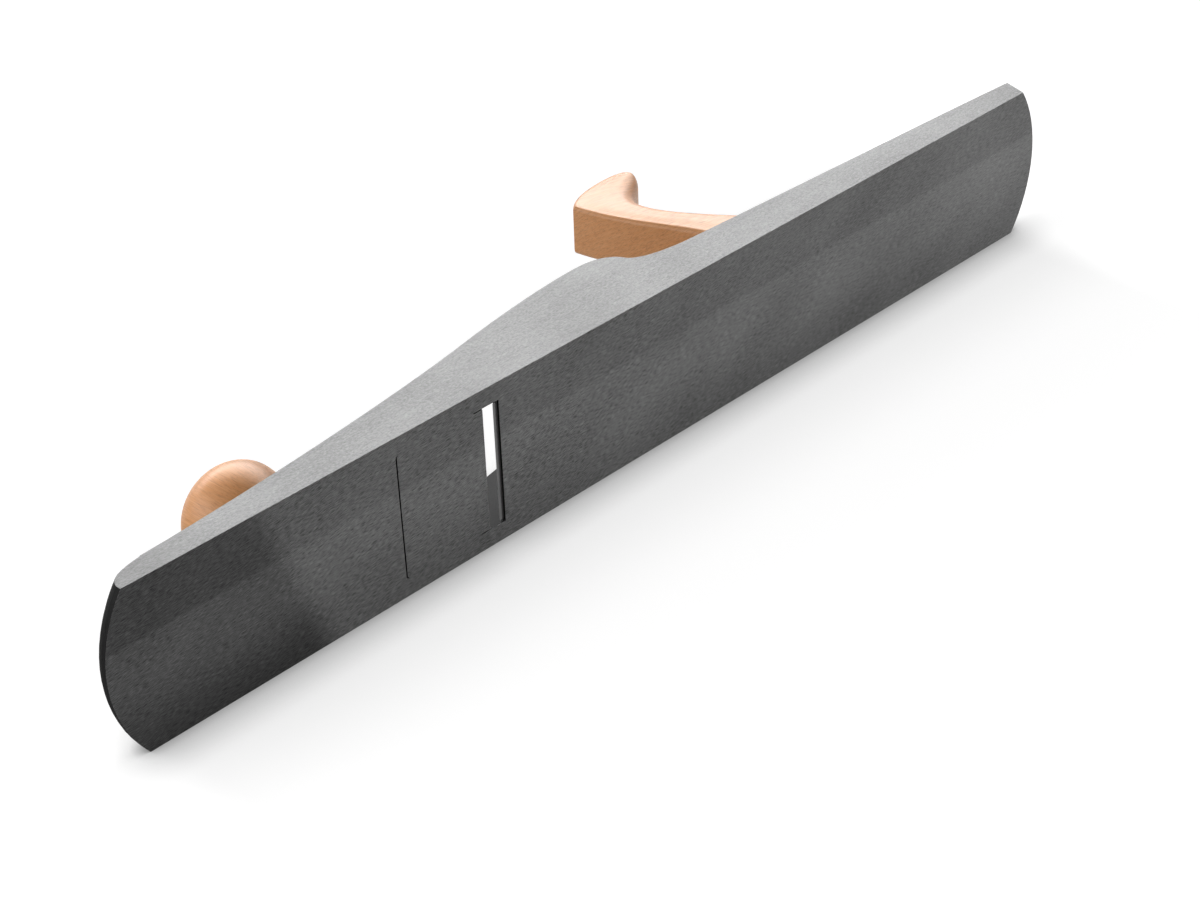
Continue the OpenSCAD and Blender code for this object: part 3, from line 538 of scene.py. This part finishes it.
grip = handleMesh()
handle = piece("handleGrip", grip, handleWood, "frame", "handle_wood", "rear_handle", smooth=50)
lean = math.radians(handleLook["rodLean"])
wellX = handleLook["rodFoot"] - math.sin(lean) * handleLook["wellTop"]
wellY = handleLook["seat"] + math.cos(lean) * handleLook["wellTop"]
boreOut(handle, (wellX, wellY), handleLook["rodLean"], handleLook["wellRadius"])
boreOut(handle, (handleLook["screwX"], handleLook["screwSeat"]), 0, handleLook["screwWell"])
handle.data.set_sharp_from_angle(angle=math.radians(50))
print("handle is shaped")


# the front knob, turned in one piece with a hollow for its insert
knobLook = {
    "x": -181.3, "foot": 13.15, "base": 17, "neck": 13.2, "widest": 23.7, "middle": 50,
    "top": 67.4, "sides": 128, "steps": 14, "domeSteps": 30,
    "insert": 7, "flange": 10.5, "flangeThick": 2.5, "hollow": 22,
}


def turned(profile, sides, middle):
    # a closed shape turned about a line along Y; its (radius, height) pairs start and end on it
    build = bmesh.new()
    around = [2 * math.pi * i / sides for i in range(sides)]
    rings = []
    for r, h in profile[1:-1]:
        rings.append([Vector((middle + r * math.cos(a), h, r * math.sin(a))) * mm for a in around])
    rows = skin(build, rings, closeEnds=False)
    for row, (_, h) in ((rows[0], profile[0]), (rows[-1], profile[-1])):
        tip = build.verts.new(Vector((middle, h, 0)) * mm)
        for i in range(sides):
            build.faces.new((row[i], row[(i + 1) % sides], tip))
    tidyNormals(build)
    return build


def knobProfile():
    k = knobLook
    foot, base, neck = k["foot"], k["base"], k["neck"]
    widest, middle = k["widest"], k["middle"]
    roof, shelf = foot + k["hollow"], foot + k["flangeThick"]
    line = [(0, roof), (k["insert"], roof), (k["insert"], shelf)]
    line += [(k["flange"], shelf), (k["flange"], foot)]
    stretches = [
        (
            (base - 1.5, foot), (base + 0.8, foot + 1),
            (base + 0.4, foot + 5.5), (base - 1.2, foot + 6.5),
        ),
        ((base - 1.2, foot + 6.5), (neck, foot + 8), (neck, foot + 11), (neck, foot + 13)),
        ((neck, foot + 13), (neck, foot + 21), (widest, middle - 12), (widest, middle)),
    ]
    for a, p, q, d in stretches:
        for i in range(k["steps"]):
            line.append(tuple(cubic(a, p, q, d, i / k["steps"])))
    for i in range(k["domeSteps"]):
        a = math.radians(90 * i / k["domeSteps"])
        line.append((widest * math.cos(a), middle + (k["top"] - middle) * math.sin(a)))
    line.append((0, k["top"]))
    return line


knobShape = turned(knobProfile(), knobLook["sides"], knobLook["x"])
piece("knobGrip", knobShape, knobWood, "knob", "knob_wood", "front_knob", smooth=50)
print("knob is turned")


# a place by the bed: s along it towards the heel, n square to it
def onBed(s, n):
    angle = math.radians(bedLook["angle"])
    sine, cosine = math.sin(angle), math.cos(angle)
    x = bedLook["mouth"] + s * cosine - n * sine
    return Vector((x, bedLook["lip"] + s * sine + n * cosine, 0))


bedAlong = onBed(1, 0) - onBed(0, 0)
bedUp = onBed(0, 1) - onBed(0, 0)


def triangle(value):
    return abs((value % 1) * 2 - 1)


def knurled(look):
    # a wheel along Z: rows of (height, radius) below and above a rim with crossed knurling
    sides, rimRows = look["teeth"] * 6, look["rows"] * 6
    low, high = look["rim"]
    rows = [[(r, h)] * sides for h, r in look["foot"]]
    for j in range(rimRows + 1):
        h = low + look["edge"] + (high - low - 2 * look["edge"]) * j / rimRows
        fade = min(1, j / 3, (rimRows - j) / 3)
        ring = []
        for i in range(sides):
            u, v = i * look["teeth"] / sides, look["rows"] * j / rimRows
            groove = look["deep"] * fade * (triangle(u + v) + triangle(u - v)) / 2
            ring.append((look["radius"] - groove, h))
        rows.append(ring)
    rows += [[(r, h)] * sides for h, r in look["head"]]
    around = [2 * math.pi * i / sides for i in range(sides)]
    build = bmesh.new()
    rings = []
    for row in rows:
        ring = [(r * math.cos(a), r * math.sin(a), h) for a, (r, h) in zip(around, row)]
        rings.append([Vector(point) * mm for point in ring])
    skin(build, rings)
    tidyNormals(build)
    return build


wheelLook = {  # adjuster wheel with its hub, from the hub's face
    "radius": 12, "edge": 0.7, "deep": 0.55, "teeth": 60, "rows": 7, "rim": (3, 11),
    "spot": (150.2, -6.5),
    "foot": [(0, 3.1), (0, 5.2), (0.4, 5.6), (2.6, 5.6), (3, 6.0), (3, 10.9), (3.3, 11.5)],
    "head": [(10.7, 11.5), (11, 10.8), (11, 8.6), (10.4, 8.0), (10.4, 4.6), (11, 4.0), (11, 3.1)],
}
wheel = knurled(wheelLook)
stand(wheel, onBed(*wheelLook["spot"]), bedAlong)
piece("adjusterWheelKnurled", wheel, brass, "wheel", "brass", "adjuster_wheel", smooth=25)

capWheelLook = {
    "radius": 11, "edge": 0.7, "deep": 0.5, "teeth": 56, "rows": 7, "rim": (0, 8),
    "spot": (110, 12.75),
    "foot": [(0, 3.4), (0, 9.8), (0.3, 10.5)],
    "head": [(7.7, 10.5), (8, 9.8), (8, 8.2), (7.4, 7.6), (7.4, 0.01)],
}
capWheel = knurled(capWheelLook)
stand(capWheel, onBed(*capWheelLook["spot"]), bedUp)
piece("capWheelKnurled", capWheel, brass, "cap_tightener", "brass", "cap_wheel", smooth=25)

stopLook = {
    "radius": 6, "edge": 0.5, "deep": 0.4, "teeth": 36, "rows": 6, "rim": (0, 7),
    "spot": (-155.884, 18.05, 0),
    "foot": [(0, 0.01), (0, 5.0), (0.3, 5.6)],
    "head": [(6.8, 5.6), (7, 5.2), (7, 3.1)],
}
stopHead = knurled(stopLook)
stand(stopHead, Vector(stopLook["spot"]), Vector((1, 0, 0)))
piece("stopScrewHead", stopHead, brass, "toe_stop", "brass", "toe_stop_screw", smooth=25)


def threaded(look):
    # a shaft along Z with a screw thread between its plain ends
    radius, length, pitch = look["radius"], look["length"], look["pitch"]
    chamfer, sides = 0.5, 32
    start = max(look["plainStart"], chamfer)
    stop = length - max(look["plainEnd"], chamfer)
    count = max(1, round((stop - start) / pitch * 8))
    heights = [0, chamfer] + [start + (stop - start) * k / count for k in range(count + 1)]
    heights += [length - chamfer, length]
    rings = []
    for k, z in enumerate(heights):
        ring = []
        for i in range(sides):
            r = radius
            if k in (0, len(heights) - 1):
                r = radius - chamfer
            elif start < z < stop:
                fade = min(1, (z - start) / pitch, (stop - z) / pitch)
                r = radius - look["deep"] * fade * triangle(z / pitch - i / sides)
            a = 2 * math.pi * i / sides
            ring.append(Vector((r * math.cos(a), r * math.sin(a), z)) * mm)
        rings.append(ring)
    build = bmesh.new()
    skin(build, rings)
    bmesh.ops.remove_doubles(build, verts=build.verts[:], dist=1e-7)
    tidyNormals(build)
    return build


spindleLook = {
    "radius": 3, "length": 44.3, "pitch": 0.8, "deep": 0.42, "plainStart": 0, "plainEnd": 26,
    "spot": (116.9, -6.5),
}
spindle = threaded(spindleLook)
stand(spindle, onBed(*spindleLook["spot"]), bedAlong)
piece("spindleThreaded", spindle, steel, "wheel", "steel", "adjuster_spindle", smooth=25)

stopShankLook = {
    "radius": 3, "length": 10.5, "pitch": 1, "deep": 0.5, "plainStart": 0, "plainEnd": 1,
    "spot": (-149.184, 18.05, 0),
}
stopShank = threaded(stopShankLook)
stand(stopShank, Vector(stopShankLook["spot"]), Vector((1, 0, 0)))
piece("stopScrewThread", stopShank, brass, "toe_stop", "brass", smooth=25)

capShankLook = {
    "radius": 3.4, "length": 6.5, "pitch": 1, "deep": 0.5, "plainStart": 0.4, "plainEnd": 0,
    "spot": (110, 6.4),
}
capShank = threaded(capShankLook)
stand(capShank, onBed(*capShankLook["spot"]), bedUp)
piece("capWheelThread", capShank, brass, "cap_tightener", "brass", smooth=25)
print("wheels are knurled, screws are threaded")


# the camera

viewLook = {
    "spot": (-598.9, -578.2, 521.2),
    "right": (0.7096, -0.7035, -0.0385), "up": (0.4343, 0.3938, 0.8102),
    "lens": 68.83, "shiftX": 0.0389, "shiftY": 0.0695,
}
lensData = bpy.data.cameras.new("camera")
lensData.lens = viewLook["lens"]
lensData.sensor_width = 36
lensData.shift_x = viewLook["shiftX"]
lensData.shift_y = viewLook["shiftY"]
lensData.clip_end = 50
camera = bpy.data.objects.new("camera", lensData)
bpy.context.scene.collection.objects.link(camera)
right = Vector(viewLook["right"]).normalized()
back = right.cross(Vector(viewLook["up"])).normalized()
up = back.cross(right)
turnTo = Matrix((right, up, back)).transposed().to_4x4()
camera.matrix_world = Matrix.Translation(Vector(viewLook["spot"]) * mm) @ turnTo
bpy.context.scene.camera = camera


# floor, world and lamps

stageLook = {
    # the contact, touch and near values paint the floor's contact shadow
    "floorZ": -38.1, "floor": 0.34, "glow": 0.715, "contact": 22, "touch": 5, "touchDepth": 0.5,
    "nearGlow": 0.14, "nearBelow": (0, 80), "nearAbove": (0, 12),
    "farGlow": 0.3, "farAside": (60, 420), "farAlong": (256, 284),
    "floorMirror": 0.15, "mirrorAcross": (-150, 100), "mirrorAbove": (0, 60),
    "ambient": 0.11, "skyMirror": 0.2,
    "behindMirror": 10.3, "behindFrom": (0.2, 1.1), "behindRise": (0.02, 0.5),
}


def paleFloor():
    # the glow is seen and mirrored but lights no dull surface; it is dimmed into a painted contact
    # shadow where the plane stands close, and rises far off
    look = stageLook
    plain = {"Base_Color": grey(look["floor"]), "Roughness": 0.9, "Specular_IOR_Level": 0.0}
    f = Finish("paleFloor", Emission_Strength=1, **plain)
    x, y, _ = f.apart(f.place())

    def openTo(reach, samples):
        span = {"Distance": reach * mm}
        return f.add("ShaderNodeAmbientOcclusion", {"samples": samples}, span, "AO")

    # painted contact shadow: the glow is dimmed by ambient occlusion near the plane, and is lower
    # close in front of and behind it, rising far off and past its ends
    clear = openTo(look["contact"], 16)
    touch = openTo(look["touch"], 8)
    near = f.step(-1 * y, *look["nearBelow"]) | f.step(y, *look["nearAbove"])
    reflected = f.step(x + y, *look["mirrorAcross"]) * f.step(y, *look["mirrorAbove"])
    mirror = look["floorMirror"] + (1 - look["floorMirror"]) * reflected
    far = f.step(abs(y), *look["farAside"]) | f.step(abs(x), *look["farAlong"])
    glow = look["glow"] + look["nearGlow"] * near + (look["farGlow"] - look["nearGlow"]) * far
    # the painted contact shadow, mixed from both reaches
    paintedContactShadow = clear * ((1 - look["touchDepth"]) + look["touchDepth"] * touch)
    return f.wear(Emission_Color=f.shade(f.seen(mirror) * glow * paintedContactShadow))


build = bmesh.new()
bmesh.ops.create_grid(build, x_segments=2, y_segments=2, size=6)
floorMesh = bpy.data.meshes.new("floor")
build.to_mesh(floorMesh)
build.free()
floor = bpy.data.objects.new("floor", floorMesh)
floor.location.z = stageLook["floorZ"] * mm
bpy.context.scene.collection.objects.link(floor)
floorMesh.materials.append(paleFloor())

world = bpy.data.worlds.new("studio")
bpy.context.scene.world = world
world.use_nodes = True
world.node_tree.nodes.clear()
sky = Tree(world.node_tree)
towardX, towardY, towardZ = sky.apart(sky.add("ShaderNodeTexCoord", {}, {}, "Generated"))
behind = sky.step(towardX + towardY, *stageLook["behindFrom"])
behind = behind * sky.step(towardZ, *stageLook["behindRise"])
mirror = stageLook["skyMirror"] + stageLook["behindMirror"] * behind
level = stageLook["ambient"] + sky.seen(mirror) * (1 - stageLook["ambient"])
light = sky.add("ShaderNodeBackground", {}, {"Color": grey(1), "Strength": level})
sky.add("ShaderNodeOutputWorld", {}, {0: light})

lamps = {
    "boxBehind": {"spot": (720, 1200, 780), "aim": (0, 20, 0), "size": (1300, 1300), "watts": 3},
    "boxTop": {"spot": (-450, 400, 1300), "aim": (0, 60, 0), "size": (1100, 1100), "watts": 1.9},
    "fillToe": {"spot": (-900, 250, 420), "aim": (0, 40, 20), "size": (1300, 540), "watts": 5.9},
    "fillHeel": {"spot": (1300, -900, 250), "aim": (150, 0, 0), "size": (640, 640), "watts": 10.2},
}
for name, look in lamps.items():
    lampData = bpy.data.lights.new(name, "AREA")
    lampData.shape = "RECTANGLE"
    lampData.size, lampData.size_y = look["size"][0] * mm, look["size"][1] * mm
    lampData.energy = look["watts"]
    lamp = bpy.data.objects.new(name, lampData)
    lamp.location = Vector(look["spot"]) * mm
    away = Vector(look["spot"]) - Vector(look["aim"])
    lamp.rotation_euler = away.to_track_quat("Z", "Y").to_euler()
    bpy.context.scene.collection.objects.link(lamp)
print("camera, floor and lamps are set")

bpy.context.scene.view_settings.view_transform = "Standard"
